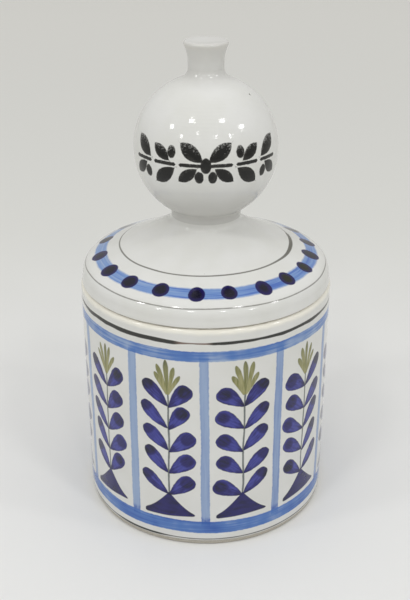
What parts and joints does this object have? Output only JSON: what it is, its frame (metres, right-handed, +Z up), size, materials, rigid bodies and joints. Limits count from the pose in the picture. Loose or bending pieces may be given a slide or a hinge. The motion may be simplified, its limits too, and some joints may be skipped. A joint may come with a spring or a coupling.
{
  "type": "lidded storage jar",
  "caption": "Straight cylindrical glazed earthenware jar with a drop-in lid that carries a hollow ball knob and a small flared finial.",
  "frame": {"origin": "centre of the foot ring's resting face, on the table", "axes": "+Z up along the jar's axis; -Y towards the side seen from the front"},
  "size_m": [0.12, 0.12, 0.2265],
  "materials": {
    "painted_glaze": "glossy white tin glaze, hand painted in blue, green and black",
    "white_glaze": "glossy white tin glaze",
    "cream_glaze": "thin cream glaze, wiped on the top edge",
    "bare_clay": "unglazed turned earthenware"
  },
  "bodies": {
    "jar": {"jar_wall": "painted_glaze", "jar_floor": "white_glaze", "foot_ring": "bare_clay", "mouth_rim": "cream_glaze"},
    "lid": {"lid_dome": "painted_glaze", "locating_ring": "white_glaze", "ball_knob": "painted_glaze", "knob_finial": "white_glaze"}
  },
  "joints": [
    {"name": "lid_lift", "type": "slide", "parent": "jar", "child": "lid", "axis": [0, 0, 1], "range_m": [0, 0.08]}
  ]
}
